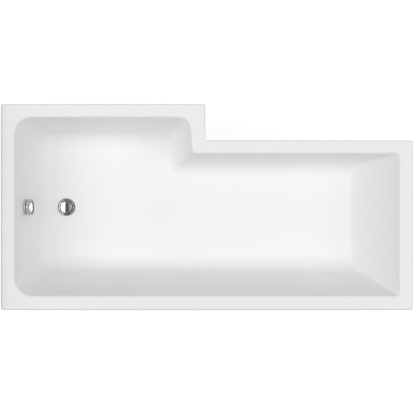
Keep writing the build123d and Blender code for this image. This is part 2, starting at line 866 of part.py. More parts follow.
# Lift lever: its long arm lies under the stem and its short arm hangs where the wire pulls
with BuildPart() as lift_lever:
    with BuildSketch(Plane.YZ.offset(waste_x)):
        with Locations((lever_y, lever_z)):
            Circle(lever_eye_radius)
        with Locations((lever_y - lever_reach / 2 - stem_radius / 2, lever_z)):
            Rectangle(lever_reach + stem_radius, lever_height)
        with Locations((lever_y, lever_z - lever_input / 2)):
            Rectangle(lever_width, lever_input)
        with Locations((lever_y, lever_z - lever_input)):
            Circle(lever_width / 2)
        with Locations((lever_y, lever_z)):
            Circle(pin_radius + running_gap, mode=Mode.SUBTRACT)
    extrude(amount=lever_width / 2, both=True)
finish(lift_lever, "lift_lever")

# Overflow plate: a shallow chrome cup on the wall, with inlet holes behind the knob
plate_front = overflow_plate_height
with BuildPart() as overflow_plate:
    profile = [
        (plate_cavity_radius, joint_gap),
        (overflow_plate_radius, joint_gap),
        (overflow_plate_radius, plate_front - plate_edge_radius),
        (overflow_plate_radius - plate_edge_radius, plate_front),
        (spindle_radius + running_gap, plate_front),
        (spindle_radius + running_gap, -plate_hub_behind),
        (plate_hub_radius, -plate_hub_behind),
        (plate_hub_radius, plate_front - plate_wall),
        (plate_cavity_radius, plate_front - plate_wall),
    ]
    revolve(half_section(overflow_half, profile), axis=overflow_axis)
    with BuildSketch(overflow_face.offset(plate_front)):
        with PolarLocations(inlet_circle_radius, inlet_count, start_angle=180 / inlet_count):
            Circle(inlet_hole_radius)
        with PolarLocations(fixing_circle_radius, 2):
            Circle(fixing_radius + pilot_clearance)
    extrude(amount=-plate_wall, mode=Mode.SUBTRACT)
finish(overflow_plate, "overflow_plate")

# Control knob: a deep chrome cap on a hub, with a hole on top that reaches its grub screw
knob_low = plate_front + knob_gap
knob_high = knob_low + knob_length
grub_height = knob_low + knob_length / 2
with BuildPart() as control_knob:
    profile = [
        (knob_radius - knob_wall, knob_low),
        (knob_radius, knob_low),
        (knob_radius, knob_high),
        (0, knob_high),
        (0, knob_high - knob_wall),
        (spindle_radius + pilot_clearance, knob_high - knob_wall),
        (spindle_radius + pilot_clearance, knob_low),
        (knob_hub_radius, knob_low),
        (knob_hub_radius, knob_high - knob_wall),
        (knob_radius - knob_wall, knob_high - knob_wall),
    ]
    revolve(half_section(overflow_half, profile), axis=overflow_axis)
    front_edge = control_knob.edges().filter_by(GeomType.CIRCLE).sort_by(overflow_axis)[-1]
    fillet(front_edge, knob_edge_radius)
    grub_plane = Plane(
        origin=overflow_point + overflow_out * grub_height, x_dir=(0, 1, 0), z_dir=-overflow_down
    )
    with BuildSketch(grub_plane.offset(knob_hub_radius + grub_access_start)):
        Circle(grub_access_radius)
    extrude(amount=knob_radius, mode=Mode.SUBTRACT)
    with BuildSketch(grub_plane.offset(spindle_radius / 2)):
        Circle(grub_radius + pilot_clearance)
    extrude(amount=knob_hub_radius, mode=Mode.SUBTRACT)
finish(control_knob, "control_knob")

with BuildPart() as knob_grub_screw:
    with BuildSketch(grub_plane.offset(spindle_radius + running_gap)):
        Circle(grub_radius)
    extrude(amount=knob_hub_radius - spindle_radius - 2 * running_gap)
    with BuildSketch(grub_plane.offset(knob_hub_radius - running_gap)):
        RegularPolygon(grub_hexagon_radius, 6)
    extrude(amount=-grub_radius, mode=Mode.SUBTRACT)
finish(knob_grub_screw, "knob_grub_screw")

with BuildPart() as knob_spindle:
    with BuildSketch(overflow_face.offset(-spindle_behind)):
        Circle(spindle_radius)
    extrude(amount=spindle_behind + knob_high - knob_wall - pilot_clearance)
finish(knob_spindle, "knob_spindle")

# Crank: pushed on the spindle behind the wall, its arm pulls the wire
crank_top = -spindle_behind + crank_thickness
with BuildPart() as knob_crank:
    with BuildSketch(overflow_face.offset(-spindle_behind)):
        Circle(crank_eye_radius)
        with Locations((crank_reach / 2, 0)):
            Rectangle(crank_reach, 2 * crank_end_radius)
        with Locations((crank_reach, 0)):
            Circle(crank_end_radius)
            Circle(wire_bore_radius, mode=Mode.SUBTRACT)
        Circle(spindle_radius + pilot_clearance, mode=Mode.SUBTRACT)
    extrude(amount=crank_thickness)
finish(knob_crank, "knob_crank")

# Overflow seal and elbow behind the wall
wall_back = -acrylic - joint_gap
elbow_front = wall_back - elbow_seal_thickness
elbow_bore = elbow_radius - elbow_wall
with BuildPart() as overflow_seal:
    seal_inner = overflow_hole_radius + joint_gap
    turned_ring(overflow_half, overflow_axis, seal_inner, elbow_flange_radius, elbow_front, wall_back)
finish(overflow_seal, "overflow_seal")

spigot_start = elbow_radius
spigot_plane = Plane(
    origin=overflow_point - overflow_out * spigot_behind, x_dir=(0, 1, 0), z_dir=overflow_down
)
cable_plane = Plane(
    origin=overflow_point - overflow_out * cable_behind + Vector(0, cable_offset, 0),
    x_dir=(0, 1, 0),
    z_dir=overflow_down,
)
cable_gland_start = sqrt(elbow_bore**2 - cable_offset**2)
cable_gland_end = elbow_radius + cable_gland_length
with BuildPart() as overflow_elbow:
    profile = [
        (0, -elbow_back),
        (elbow_radius, -elbow_back),
        (elbow_radius, elbow_front - elbow_flange_thickness),
        (elbow_flange_radius, elbow_front - elbow_flange_thickness),
        (elbow_flange_radius, elbow_front),
        (0, elbow_front),
    ]
    revolve(half_section(overflow_half, profile), axis=overflow_axis)
    with BuildSketch(spigot_plane):
        Circle(shoulder_radius)
    extrude(amount=spigot_start + shoulder_length)
    with BuildSketch(spigot_plane):
        Circle(spigot_radius)
    extrude(amount=spigot_start + shoulder_length + spigot_length)
    with BuildSketch(cable_plane.offset(cable_gland_start)):
        Circle(gland_radius)
    extrude(amount=cable_gland_end - cable_gland_start)
    with BuildSketch(overflow_face.offset(-elbow_back + elbow_wall)):
        Circle(elbow_bore)
    extrude(amount=elbow_back, mode=Mode.SUBTRACT)
    with BuildSketch(overflow_face.offset(elbow_front)):
        with PolarLocations(fixing_circle_radius, 2):
            Circle(fixing_boss_radius)
    extrude(amount=-fixing_boss_depth)
    with BuildSketch(overflow_face.offset(elbow_front)):
        with PolarLocations(fixing_circle_radius, 2):
            Circle(fixing_radius + pilot_clearance)
    extrude(amount=-(fixing_boss_depth - elbow_wall), mode=Mode.SUBTRACT)
    with BuildSketch(spigot_plane):
        Circle(spigot_bore_radius)
    extrude(amount=spigot_start + shoulder_length + spigot_length, mode=Mode.SUBTRACT)
    with BuildSketch(cable_plane.offset(cable_gland_end - cable_socket_depth)):
        Circle(cable_radius + thread_clearance)
    extrude(amount=cable_socket_depth, mode=Mode.SUBTRACT)
    with BuildSketch(cable_plane.offset(cable_gland_start - elbow_wall)):
        Circle(wire_bore_radius)
    extrude(amount=cable_gland_end, mode=Mode.SUBTRACT)
finish(overflow_elbow, "overflow_elbow")

# Fixing screws: through the plate and the hole in the wall into the elbow's bosses
with BuildPart() as overflow_screws:
    for side in (-1, 1):
        place = overflow_point + Vector(0, side * fixing_circle_radius, 0)
        screw_plane = Plane(origin=place, x_dir=(0, 1, 0), z_dir=overflow_out)
        with BuildSketch(screw_plane.offset(plate_front)):
            Circle(fixing_radius)
        extrude(amount=-(plate_front - elbow_front + fixing_boss_depth / 2))
        with BuildSketch(screw_plane.offset(plate_front)):
            Circle(fixing_head_radius)
        extrude(amount=fixing_head_height)
finish(overflow_screws, "overflow_screws")

# Overflow hose: ribbed, down the back of the wall and round under the floor to the waste body
hose_start = spigot_plane.origin + overflow_down * (spigot_start + shoulder_length + joint_gap)
hose_end = branch_start - Vector(shoulder_length + joint_gap, 0, 0)
hose_drop = (hose_start.Z - hose_end.Z) / cos(overflow_lean)
hose_corner = hose_start + overflow_down * hose_drop
with BuildLine() as hose_route:
    FilletPolyline(hose_start, hose_corner, hose_end, radius=hose_bend_radius)
hose_path = hose_route.wires()[0]
hose_length = hose_path.length


def hose_ring(distance, radius):
    """A circle across the hose, this far along it."""
    share = distance / hose_length
    square = Plane(origin=hose_path @ share, x_dir=(0, 1, 0), z_dir=hose_path % share)
    with BuildSketch(square) as ring:
        Circle(radius)
    return ring.sketch


rib_zone = hose_length - 2 * hose_cuff_length
rib_count = int(rib_zone / hose_rib_pitch)
rib_pitch = rib_zone / rib_count
hose_rings = [hose_ring(0, hose_cuff_radius), hose_ring(hose_cuff_length, hose_cuff_radius)]
rib_profile = [
    (0.15, hose_valley_radius),
    (0.35, hose_rib_radius),
    (0.65, hose_rib_radius),
    (0.85, hose_valley_radius),
]
for rib in range(rib_count):
    for pitch_share, radius in rib_profile:
        hose_rings.append(hose_ring(hose_cuff_length + (rib + pitch_share) * rib_pitch, radius))
hose_rings.append(hose_ring(hose_length - hose_cuff_length, hose_cuff_radius))
hose_rings.append(hose_ring(hose_length, hose_cuff_radius))
with BuildPart() as overflow_hose:
    loft(sections=hose_rings, ruled=True)
    sweep(hose_ring(0, hose_bore_radius), path=hose_path, mode=Mode.SUBTRACT)
finish(overflow_hose, "overflow_hose")
print("hose length", round(hose_length, 1), "ribs", rib_count, "volume", round(overflow_hose.part.volume))


def hose_clip(name, plane):
    """A band round the hose's cuff with its screw housing on one side."""
    inner = hose_cuff_radius + thread_clearance
    outer = inner + clip_thickness
    with BuildPart() as clip:
        with BuildSketch(plane):
            Circle(outer)
            with Locations((-outer - clip_box / 2 + clip_thickness, 0)):
                Rectangle(clip_box, clip_box_length)
            Circle(inner, mode=Mode.SUBTRACT)
        extrude(amount=clip_width)
    finish(clip, name)


clip_start = shoulder_length + clip_from_shoulder
hose_clip("hose_clip_upper", spigot_plane.offset(spigot_start + clip_start))
hose_clip(
    "hose_clip_lower",
    Plane(origin=branch_start - Vector(clip_start, 0, 0), x_dir=(0, 1, 0), z_dir=(-1, 0, 0)),
)

# Control cable: its sheath runs beside the hose from the elbow's gland to the waste body's gland
cable_start = cable_plane.origin + overflow_down * (cable_gland_end - cable_socket_depth)
cable_end = Vector(waste_x, waste_y + body_radius + gland_length - cable_socket_depth, gland_z)
cable_points = [cable_start]
for drop_share, along, across in cable_beside_hose:
    beside_wall = cable_start + overflow_down * hose_drop * drop_share
    cable_points.append(beside_wall + Vector(along, across, 0))
for along, across, up in cable_at_waste:
    cable_points.append(cable_end + Vector(along, across, up))
cable_points.append(cable_end)
cable_runs = [b - a for a, b in zip(cable_points, cable_points[1:])]
cable_radii = []
for before, after in zip(cable_runs, cable_runs[1:]):
    turn = radians(before.get_angle(after))
    cable_radii.append(cable_bend_share * min(before.length, after.length) / tan(turn / 2))
with BuildPart() as control_cable:
    with BuildLine() as cable_route:
        FilletPolyline(*cable_points, radius=cable_radii)
    with BuildSketch(Plane(origin=cable_start, x_dir=(0, 1, 0), z_dir=overflow_down)):
        Circle(cable_radius)
    sweep(path=cable_route.wires()[0])
finish(control_cable, "control_cable")
cable_length = cable_route.wires()[0].length
print("cable length", round(cable_length, 1), "radii", [round(radius) for radius in cable_radii])
print("cable volume", round(control_cable.part.volume), round(cable_length * pi * cable_radius**2))
print("lever turn for the plug's travel", round(degrees(plug_travel / lever_reach), 1))
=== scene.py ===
# %% [markdown]
# # A white L-shaped shower bath
#
# The bath stands on its own feet and is seen from straight above. The metal and plastic parts come from
# the CAD frame, already in place. This script gives them smooth copies and finishes, and it draws the
# acrylic bath itself again as a clean mesh, because glossy white plastic shows every facet.

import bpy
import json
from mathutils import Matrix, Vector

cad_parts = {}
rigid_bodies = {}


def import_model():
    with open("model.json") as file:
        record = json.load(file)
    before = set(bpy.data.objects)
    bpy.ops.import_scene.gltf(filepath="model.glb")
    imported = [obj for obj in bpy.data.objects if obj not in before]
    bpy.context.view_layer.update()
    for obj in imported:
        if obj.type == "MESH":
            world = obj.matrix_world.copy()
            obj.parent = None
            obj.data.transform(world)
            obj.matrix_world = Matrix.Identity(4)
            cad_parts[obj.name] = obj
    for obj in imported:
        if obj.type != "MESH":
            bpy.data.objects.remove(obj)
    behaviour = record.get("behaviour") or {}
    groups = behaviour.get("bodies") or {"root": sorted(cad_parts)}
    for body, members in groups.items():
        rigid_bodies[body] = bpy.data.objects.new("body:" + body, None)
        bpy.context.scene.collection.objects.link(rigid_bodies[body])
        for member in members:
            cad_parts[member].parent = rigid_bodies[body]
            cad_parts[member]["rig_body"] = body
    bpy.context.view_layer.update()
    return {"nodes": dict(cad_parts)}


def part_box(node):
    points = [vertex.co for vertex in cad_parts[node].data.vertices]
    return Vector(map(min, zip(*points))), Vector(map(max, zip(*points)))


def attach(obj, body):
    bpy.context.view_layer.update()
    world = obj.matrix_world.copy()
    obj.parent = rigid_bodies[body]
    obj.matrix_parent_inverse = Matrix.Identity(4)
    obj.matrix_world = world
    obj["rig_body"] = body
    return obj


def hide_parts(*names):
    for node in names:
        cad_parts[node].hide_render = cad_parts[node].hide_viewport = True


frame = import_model()

# %% Tools
import json
from math import cos, pi, radians, sin, sqrt, tan

import bmesh
import bpy
from mathutils import Matrix, Vector

MM = 0.001

# %% [markdown]
# ## The camera
#
# The photograph looks straight down from far away, so the walls of the well hardly lean outwards in
# it. A long lens high above the rim gives that look. A camera that isn't turned looks down already,
# with +Y at the top of the picture.

# %% Camera
camera_height = 8.28
frame_width_at_rim = 1.7161
sensor_width = 36.0
rim_level = 0.540
camera_data = bpy.data.cameras.new("overhead_camera")
camera_data.sensor_width = sensor_width
camera_data.lens = sensor_width * (camera_height - rim_level) / frame_width_at_rim
camera = bpy.data.objects.new("overhead_camera", camera_data)
camera.location = (0.0043, -0.0037, camera_height)
bpy.context.scene.collection.objects.link(camera)
bpy.context.scene.camera = camera
bpy.context.scene.view_settings.view_transform = "Standard"
print("lens:", round(camera_data.lens, 1), "mm")

# %% [markdown]
# ## The shape of the bath
#
# The well hangs inside an L-shaped lip line. Each of its six walls leans back by its own draft and
# meets the floor in an arc, its blend. The same sizes drive the CAD, so this mesh lies on the CAD's
# faces. They are in millimetres, and the mesh is scaled to metres at the end.

# %% Sizes of the moulding
overall_length, wide_width, narrow_width, wide_length = 1700.0, 850.0, 700.0, 843.0
rim_height, well_depth, acrylic, rim_depth = 540.0, 390.0, 5.0, 38.0
rim_edge_radius, lip_radius, outer_corner_radius = 6.0, 12.0, 8.0
bond_gap, backing, floor_fall = 0.3, 3.0, 0.35
step_slant = tan(radians(5.0))
smallest_corner = 8.0
floor_level = rim_height - well_depth
tap_lip, head_lip, back_lip = -794.0, 796.0, -367.0
narrow_lip, wide_lip, step_lip = 220.0, 370.0, -60.0
waste_x = -609.0

# Each wall: its draft in degrees and the radius of its blend
WALLS = {
    "back": (15.0, 86.0),
    "head": (24.0, 40.0),
    "narrow": (5.5, 68.0),
    "step": (12.0, 40.5),
    "wide": (9.0, 82.5),
    "tap": (10.0, 68.0),
}

# Each corner lies between two walls and has its radius at the lip. The one at the step turns outwards.
CORNERS = [
    ("tap", "back", 75.0),
    ("back", "head", 12.0),
    ("head", "narrow", 12.0),
    ("narrow", "step", 20.1),
    ("step", "wide", 45.0),
    ("wide", "tap", 70.0),
]
STEP_CORNER = 3
largest_blend = max(blend for draft, blend in WALLS.values())

# %% [markdown]
# ## Rings
#
# A bath is made of rings, one above the other, like the contour lines of a map. Every ring here has
# the same number of points in the same order, six rounded corners with straight sides between them.
# That makes it easy to extrude one ring into the next. On the tap end wall the points stand in fixed
# columns, so that a round hole for the overflow can be let into them later.

# %% Points round an outline
ARC_STEPS = 12
SIDE_POINTS = 5
HOLE_CELL = 12.0
HOLE_CELLS = 4
tap_columns = [HOLE_CELL * i for i in range(HOLE_CELLS, -HOLE_CELLS - 1, -1)]


def ring_points(corners, radii, heights):
    """Points round six corners. Each corner has a radius, and each side has its own height."""
    arcs = []
    for i, corner in enumerate(corners):
        before = (corners[i - 1] - corner).normalized()
        after = (corners[(i + 1) % 6] - corner).normalized()
        opening = before.angle(after)
        reach = radii[i] / tan(opening / 2)
        centre = corner + (before + after).normalized() * (radii[i] / sin(opening / 2))
        first = (corner + before * reach - centre).normalized()
        last = (corner + after * reach - centre).normalized()
        arc = []
        for k in range(ARC_STEPS + 1):
            share = k / ARC_STEPS
            place = centre + first.slerp(last, share) * radii[i]
            arc.append(Vector((place.x, place.y, heights[i - 1] * (1 - share) + heights[i] * share)))
        arcs.append(arc)
    points = []
    for i, arc in enumerate(arcs):
        points += arc
        start, end = arc[-1], arcs[(i + 1) % 6][0]
        if i == 5:
            points += [start.lerp(end, (start.y - y) / (start.y - end.y)) for y in tap_columns]
        else:
            points += [start.lerp(end, k / (SIDE_POINTS + 1)) for k in range(1, SIDE_POINTS + 1)]
    return points


def well_corners(inset):
    """The six corners of the well when each wall stands in from its lip line by its inset."""
    x_tap, x_head = tap_lip + inset["tap"], head_lip - inset["head"]
    y_back, y_narrow = back_lip + inset["back"], narrow_lip - inset["narrow"]
    y_wide = wide_lip - inset["wide"]
    x_near = step_lip - inset["step"] - (y_narrow - narrow_lip) * step_slant
    x_far = step_lip - inset["step"] - (y_wide - narrow_lip) * step_slant
    places = [(x_tap, y_back), (x_head, y_back), (x_head, y_narrow), (x_near, y_narrow), (x_far, y_wide)]
    return [Vector(place) for place in places + [(x_tap, y_wide)]]


# %% [markdown]
# ## Rings of the well
#
# A ring low in the well follows the blends, so each wall stands in further there and the corners get
# tighter. A ring that is offset outwards by grow gives the outside of the sheet. The lower rings tilt
# by a third of a degree, which is the fall that lets the water run to the waste.

# %% Rings from the floor to the top of the blends
def wall_inset(wall, level, grow):
    """How far a wall stands in at a level above the floor, and how much of that is its blend."""
    draft, blend = WALLS[wall]
    lean, radius, depth = radians(draft), blend + grow, well_depth + grow
    straight = (depth - level) * tan(lean) - grow / cos(lean)
    if level >= radius * (1 - sin(lean)):
        return straight, 0.0
    arc_centre = depth * tan(lean) - grow / cos(lean) + radius * (1 - sin(lean)) / cos(lean)
    inset = arc_centre - sqrt(radius**2 - (radius - level) ** 2)
    return inset, inset - straight


def corner_radius(index, blended, grow, spread=0.0):
    """A corner's radius, tighter by the blend of its walls and wider by grow and spread."""
    first, second, radius = CORNERS[index]
    blend = min(blended[first], blended[second])
    if index == STEP_CORNER:
        return radius + blend - grow - spread
    return max(radius - blend, smallest_corner) + grow + spread


def falling(point, level, fall):
    """Tilts a point of a level ring about the waste."""
    tilt = radians(fall)
    along = point.x - waste_x
    return Vector((waste_x + along * cos(tilt), point.y, level + along * sin(tilt)))


def well_ring(level, grow, fall):
    inset, blended = {}, {}
    for wall in WALLS:
        inset[wall], blended[wall] = wall_inset(wall, level, grow)
    radii = [corner_radius(i, blended, grow) for i in range(6)]
    flat = ring_points(well_corners(inset), radii, [0.0] * 6)
    return [falling(point, floor_level - grow + level, fall) for point in flat]


# %% [markdown]
# ## Rings of the lip and the rim
#
# Over the lip the sheet turns from the leaning wall to the flat deck on one centre, 12 mm below the
# deck. The deck is flat. Its outer edge rolls over by 6 mm and drops as a skirt that hides the timber.

# %% Rings above the walls
def lip_ring(turn, grow):
    """A ring on the rolled lip. turn runs from 0 at the wall to 1 at the deck."""
    inset, heights, spreads = {}, {}, {}
    roll = lip_radius - grow
    for wall, (draft, blend) in WALLS.items():
        lean = radians(draft)
        angle = lean + (pi / 2 - lean) * turn
        roll_centre = -lip_radius * (1 - sin(lean)) / cos(lean)
        inset[wall] = roll_centre + roll * cos(angle)
        heights[wall] = rim_height - lip_radius + roll * sin(angle)
        spreads[wall] = roll * (cos(lean) - cos(angle))
    no_blend = dict.fromkeys(WALLS, 0.0)
    radii = []
    for i, (first, second, radius) in enumerate(CORNERS):
        radii.append(corner_radius(i, no_blend, grow, (spreads[first] + spreads[second]) / 2))
    return ring_points(well_corners(inset), radii, [heights[wall] for wall in WALLS])


def rim_ring(inset, height):
    """A ring round the rim, drawn in from its outer face by inset."""
    left, right, low = -overall_length / 2 + inset, overall_length / 2 - inset, -wide_width / 2 + inset
    middle, high = narrow_width - wide_width / 2 - inset, wide_width / 2 - inset
    step = wide_length - overall_length / 2 - inset
    places = [(left, low), (right, low), (right, middle), (step, middle), (step, high), (left, high)]
    radii = [outer_corner_radius - inset] * 6
    radii[STEP_CORNER] = outer_corner_radius + inset
    return ring_points([Vector(place) for place in places], [max(r, 1.0) for r in radii], [height] * 6)


# %% [markdown]
# ## Extruding the rings into a skin
#
# The first ring is drawn as a wire. Then its edges are extruded, and the new edge ring is moved to the
# next ring's points. The walls are straight between two rings, so the rings in between are mixes of
# the two. One of them lies close to each end, because smooth shading needs a narrow face beside a bend
# to keep the wide face flat.

# %% Skin helper
def skin(mesh, rings):
    """Extrudes a wire ring through all the rings and returns the first and the last ring's edges."""
    verts = [mesh.verts.new(point) for point in rings[0]]
    first_edges = [mesh.edges.new(pair) for pair in zip(verts, verts[1:] + verts[:1])]
    edges = first_edges
    for ring in rings[1:]:
        order = {vert: i for i, vert in enumerate(verts)}
        grown = bmesh.ops.extrude_edge_only(mesh, edges=edges)["geom"]
        verts = [None] * len(ring)
        for new in [part for part in grown if isinstance(part, bmesh.types.BMVert)]:
            index = next(order[e.other_vert(new)] for e in new.link_edges if e.other_vert(new) in order)
            new.co = ring[index]
            verts[index] = new
        edges = [mesh.edges.get(pair) for pair in zip(verts, verts[1:] + verts[:1])]
    return first_edges, edges


overflow_lean = radians(WALLS["tap"][0])
overflow_level = 380.0
overflow_point = Vector((tap_lip + (rim_height - overflow_level) * tan(overflow_lean), 0, overflow_level))
overflow_out = Vector((cos(overflow_lean), 0, sin(overflow_lean)))
overflow_down = Vector((sin(overflow_lean), 0, -cos(overflow_lean)))


def wall_rings(low_ring, high_ring, grow):
    """The rings between the blends and the lip, with rows for the overflow hole in the tap end wall."""
    column = len(low_ring) - len(tap_columns) // 2 - 1
    low, high = low_ring[column].z, high_ring[column].z
    centre = (overflow_point - overflow_out * grow).z
    rows = [centre + HOLE_CELL * i * cos(overflow_lean) for i in range(-HOLE_CELLS, HOLE_CELLS + 1)]
    beside_bend = 0.01
    shares = [beside_bend] + [(row - low) / (high - low) for row in rows] + [1 - beside_bend]
    return [[a.lerp(b, share) for a, b in zip(low_ring, high_ring)] for share in shares]


def well_rings(grow, fall, bowl_steps=18, lip_steps=8):
    """All the rings of one face of the sheet, from the floor to the deck."""
    bowl_height = largest_blend + grow
    bowl = []
    for i in range(bowl_steps + 1):
        level = bowl_height * (1 - cos(pi / 2 * i / bowl_steps))
        bowl.append(well_ring(level, grow, fall))
    lip = [lip_ring(i / lip_steps, grow) for i in range(lip_steps + 1)]
    return bowl + wall_rings(bowl[-1], lip[0], grow) + lip


# %% [markdown]
# ## Holes in the sheet
#
# The overflow goes through the tap end wall and the waste goes through the floor. For the overflow, the
# square of faces round its place is taken out of both faces of the sheet, a circle is drawn in each,
# and bridges join square to circle and circle to circle. The floor is the flat L left inside the
# lowest ring, filled with triangles round the waste's circle.
#
# An edge counts as sharp where its two faces meet at more than 35 degrees.

# %% Hole helpers
def let_in_hole(mesh, radius, depths):
    """Opens a round hole through the tap end wall, from one depth behind its face to the other."""
    circles = []
    half = HOLE_CELL * HOLE_CELLS
    for depth in depths:
        centre = overflow_point - overflow_out * depth
        inside = []
        for face in mesh.faces:
            away = face.calc_center_median() - centre
            near = abs(away.y) < half and abs(away.dot(overflow_down)) < half
            if near and abs(away.dot(overflow_out)) < bond_gap:
                inside.append(face)
        around = {edge for face in inside for edge in face.edges}
        square = [edge for edge in around if sum(face in inside for face in edge.link_faces) == 1]
        bmesh.ops.delete(mesh, geom=inside, context="FACES")
        hole = Matrix((Vector((0, 1, 0)), overflow_down, -overflow_out)).transposed().to_4x4()
        hole.translation = centre
        ring = bmesh.ops.create_circle(mesh, segments=len(square), radius=radius, matrix=hole)["verts"]
        circle = list({edge for vert in ring for edge in vert.link_edges})
        bmesh.ops.bridge_loops(mesh, edges=square + circle)
        circles += circle
    bmesh.ops.bridge_loops(mesh, edges=circles)


def circle_ring(radius, height, fall=0.0, segments=64):
    """Points round the waste's axis, on a level or falling plane."""
    points = []
    for i in range(segments):
        angle = 2 * pi * i / segments
        flat = Vector((waste_x + radius * cos(angle), radius * sin(angle), 0))
        points.append(falling(flat, height, fall))
    return points


SHARP = radians(35.0)


def shade(mesh):
    """Smooth shading, and a sharp edge wherever two faces meet at an angle."""
    for face in mesh.faces:
        face.smooth = True
    for edge in mesh.edges:
        edge.smooth = edge.calc_face_angle(0.0) < SHARP


def piece_from(mesh, name, body):
    """Turns a bmesh in metres into an object that rides on its body."""
    data = bpy.data.meshes.new(name)
    mesh.to_mesh(data)
    open_edges = sum(1 for edge in mesh.edges if not edge.is_manifold)
    mesh.free()
    piece = bpy.data.objects.new(name, data)
    bpy.context.scene.collection.objects.link(piece)
    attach(piece, body)
    print(name, "faces:", len(data.polygons), "open edges:", open_edges)
    return piece


# %% [markdown]
# ## The acrylic bath
#
# The rings run from the floor up the inside, over the lip, across the deck, round the skirt, back
# under the deck and down the outside. One closed skin is safer than a thin sheet with a Solidify
# modifier, because the skirt and the lip turn more tightly than a modifier can follow.

# %% Acrylic shell
shell = bmesh.new()
inside_rings = well_rings(0.0, floor_fall)
narrow_band = 0.6
trimmed_edge = 0.8
roll_steps = 6
deck_rings = [rim_ring(rim_edge_radius + narrow_band, rim_height)]
for i in range(roll_steps + 1):
    turn = pi / 2 * i / roll_steps
    inset, drop = rim_edge_radius * (1 - sin(turn)), rim_edge_radius * (1 - cos(turn))
    deck_rings.append(rim_ring(inset, rim_height - drop))
skirt_bottom = rim_height - rim_depth
under_deck = rim_height - acrylic
skirt_rings = [
    rim_ring(0.0, rim_height - rim_edge_radius - narrow_band),
    rim_ring(0.0, skirt_bottom + trimmed_edge),
    rim_ring(trimmed_edge, skirt_bottom),
    rim_ring(acrylic - trimmed_edge, skirt_bottom),
    rim_ring(acrylic, skirt_bottom + trimmed_edge),
    rim_ring(acrylic, under_deck),
]
outside_rings = well_rings(acrylic, floor_fall)[::-1]
bottom_ring, underside_ring = skin(shell, inside_rings + deck_rings + skirt_rings + outside_rings)

recess_radius, recess_floor, hole_radius, boss_radius = 38.0, 147.0, 26.0, 43.0
boss_underside = recess_floor - acrylic
flat_margin, ease_out, ease_down = 1.2, 0.4, 1.0

# From the floor over the recess's eased edge, down its side, through the hole and out under the boss
waste_rings = [
    circle_ring(recess_radius + 2 * flat_margin, floor_level, floor_fall),
    circle_ring(recess_radius + flat_margin, floor_level, floor_fall),
    circle_ring(recess_radius + ease_out, floor_level - 0.3 * ease_down, floor_fall),
    circle_ring(recess_radius, floor_level - ease_down, floor_fall),
    circle_ring(recess_radius, recess_floor),
    circle_ring(hole_radius, recess_floor),
    circle_ring(hole_radius, boss_underside),
    circle_ring(boss_radius, boss_underside),
    circle_ring(boss_radius, floor_level - acrylic, floor_fall),
    circle_ring(boss_radius + flat_margin, floor_level - acrylic, floor_fall),
]
recess_edge, boss_edge = skin(shell, waste_rings)
for edges in (bottom_ring + recess_edge, underside_ring + boss_edge):
    bmesh.ops.triangle_fill(shell, use_beauty=True, edges=edges, normal=(0, 0, 1))
let_in_hole(shell, hole_radius, (0.0, acrylic))
bmesh.ops.recalc_face_normals(shell, faces=shell.faces)
shade(shell)
bmesh.ops.scale(shell, vec=(MM, MM, MM), verts=shell.verts)
bath = piece_from(shell, "acrylic_bath", "bath")
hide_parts("bath_shell")

# %% [markdown]
# ## The glass-fibre backing
#
# Acrylic alone would flex, so the maker sprays chopped glass and resin on its back. The coat ends just
# under the lip. It is the same skin again, offset a little further, level underneath.

# %% Backing
coat = bmesh.new()
near, far = acrylic + bond_gap, acrylic + bond_gap + backing
backing_top = under_deck - (lip_radius - acrylic) - bond_gap
backing_hole, backing_waste_hole = 40.0, 50.0


def backing_rings(grow, fall):
    """One face of the coat, from the floor to its top edge."""
    rings = [ring for ring in well_rings(grow, fall) if ring[0].z < backing_top]
    top = well_ring(backing_top - floor_level + grow, grow, 0.0)
    return rings + [top]


coat_ends = skin(coat, backing_rings(near, floor_fall) + backing_rings(far, 0.0)[::-1])
hole_ends = skin(coat, [
    circle_ring(backing_waste_hole, floor_level - near, floor_fall),
    circle_ring(backing_waste_hole, floor_level - far),
])
for ring, hole in zip(coat_ends, hole_ends):
    bmesh.ops.triangle_fill(coat, use_beauty=True, edges=ring + hole, normal=(0, 0, 1))
let_in_hole(coat, backing_hole, (near, far))
bmesh.ops.recalc_face_normals(coat, faces=coat.faces)
shade(coat)
bmesh.ops.scale(coat, vec=(MM, MM, MM), verts=coat.verts)
coat_piece = piece_from(coat, "glass_fibre_coat", "bath")
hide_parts("glassfibre_backing")

# %% [markdown]
# ## Node tools
#
# A finish is a tree of nodes. Two short helpers keep such a tree readable: one lays a node down and
# fills or links its sockets, the other starts a material and hands back its shader and the object's own
# coordinates, in metres, so that a pattern keeps its real size.

# %% Node helpers
def lay(tree, kind, inputs=None, **settings):
    """Adds a node. Each input is a value, or another node's output to link to it."""
    made = tree.nodes.new(kind)
    for key, value in settings.items():
        setattr(made, key, value)
    for socket, value in (inputs or {}).items():
        if isinstance(value, bpy.types.NodeSocket):
            tree.links.new(value, made.inputs[socket])
        else:
            made.inputs[socket].default_value = value
    return made


def ramp(tree, factor, stops):
    """A colour ramp from (place, colour) stops."""
    made = lay(tree, "ShaderNodeValToRGB", {"Fac": factor})
    elements = made.color_ramp.elements
    while len(elements) < len(stops):
        elements.new(0.5)
    for element, (place, colour) in zip(elements, stops):
        element.position = place
        element.color = (*colour, 1.0)
    return made.outputs["Color"]


def spread(tree, value, low, high):
    """Spreads a mask over a range, such as a roughness from low to high."""
    made = lay(tree, "ShaderNodeMapRange", {"Value": value, "To Min": low, "To Max": high})
    return made.outputs["Result"]


def new_finish(name, **constants):
    """A material with the shader's plain values set, its tree, its shader and its coordinates."""
    finish = bpy.data.materials.new(name)
    finish.use_nodes = True
    tree = finish.node_tree
    shader = tree.nodes["Principled BSDF"]
    for socket, value in constants.items():
        shader.inputs[socket.replace("_", " ")].default_value = value
    coordinates = lay(tree, "ShaderNodeTexCoord").outputs["Object"]
    return finish, tree, shader, coordinates


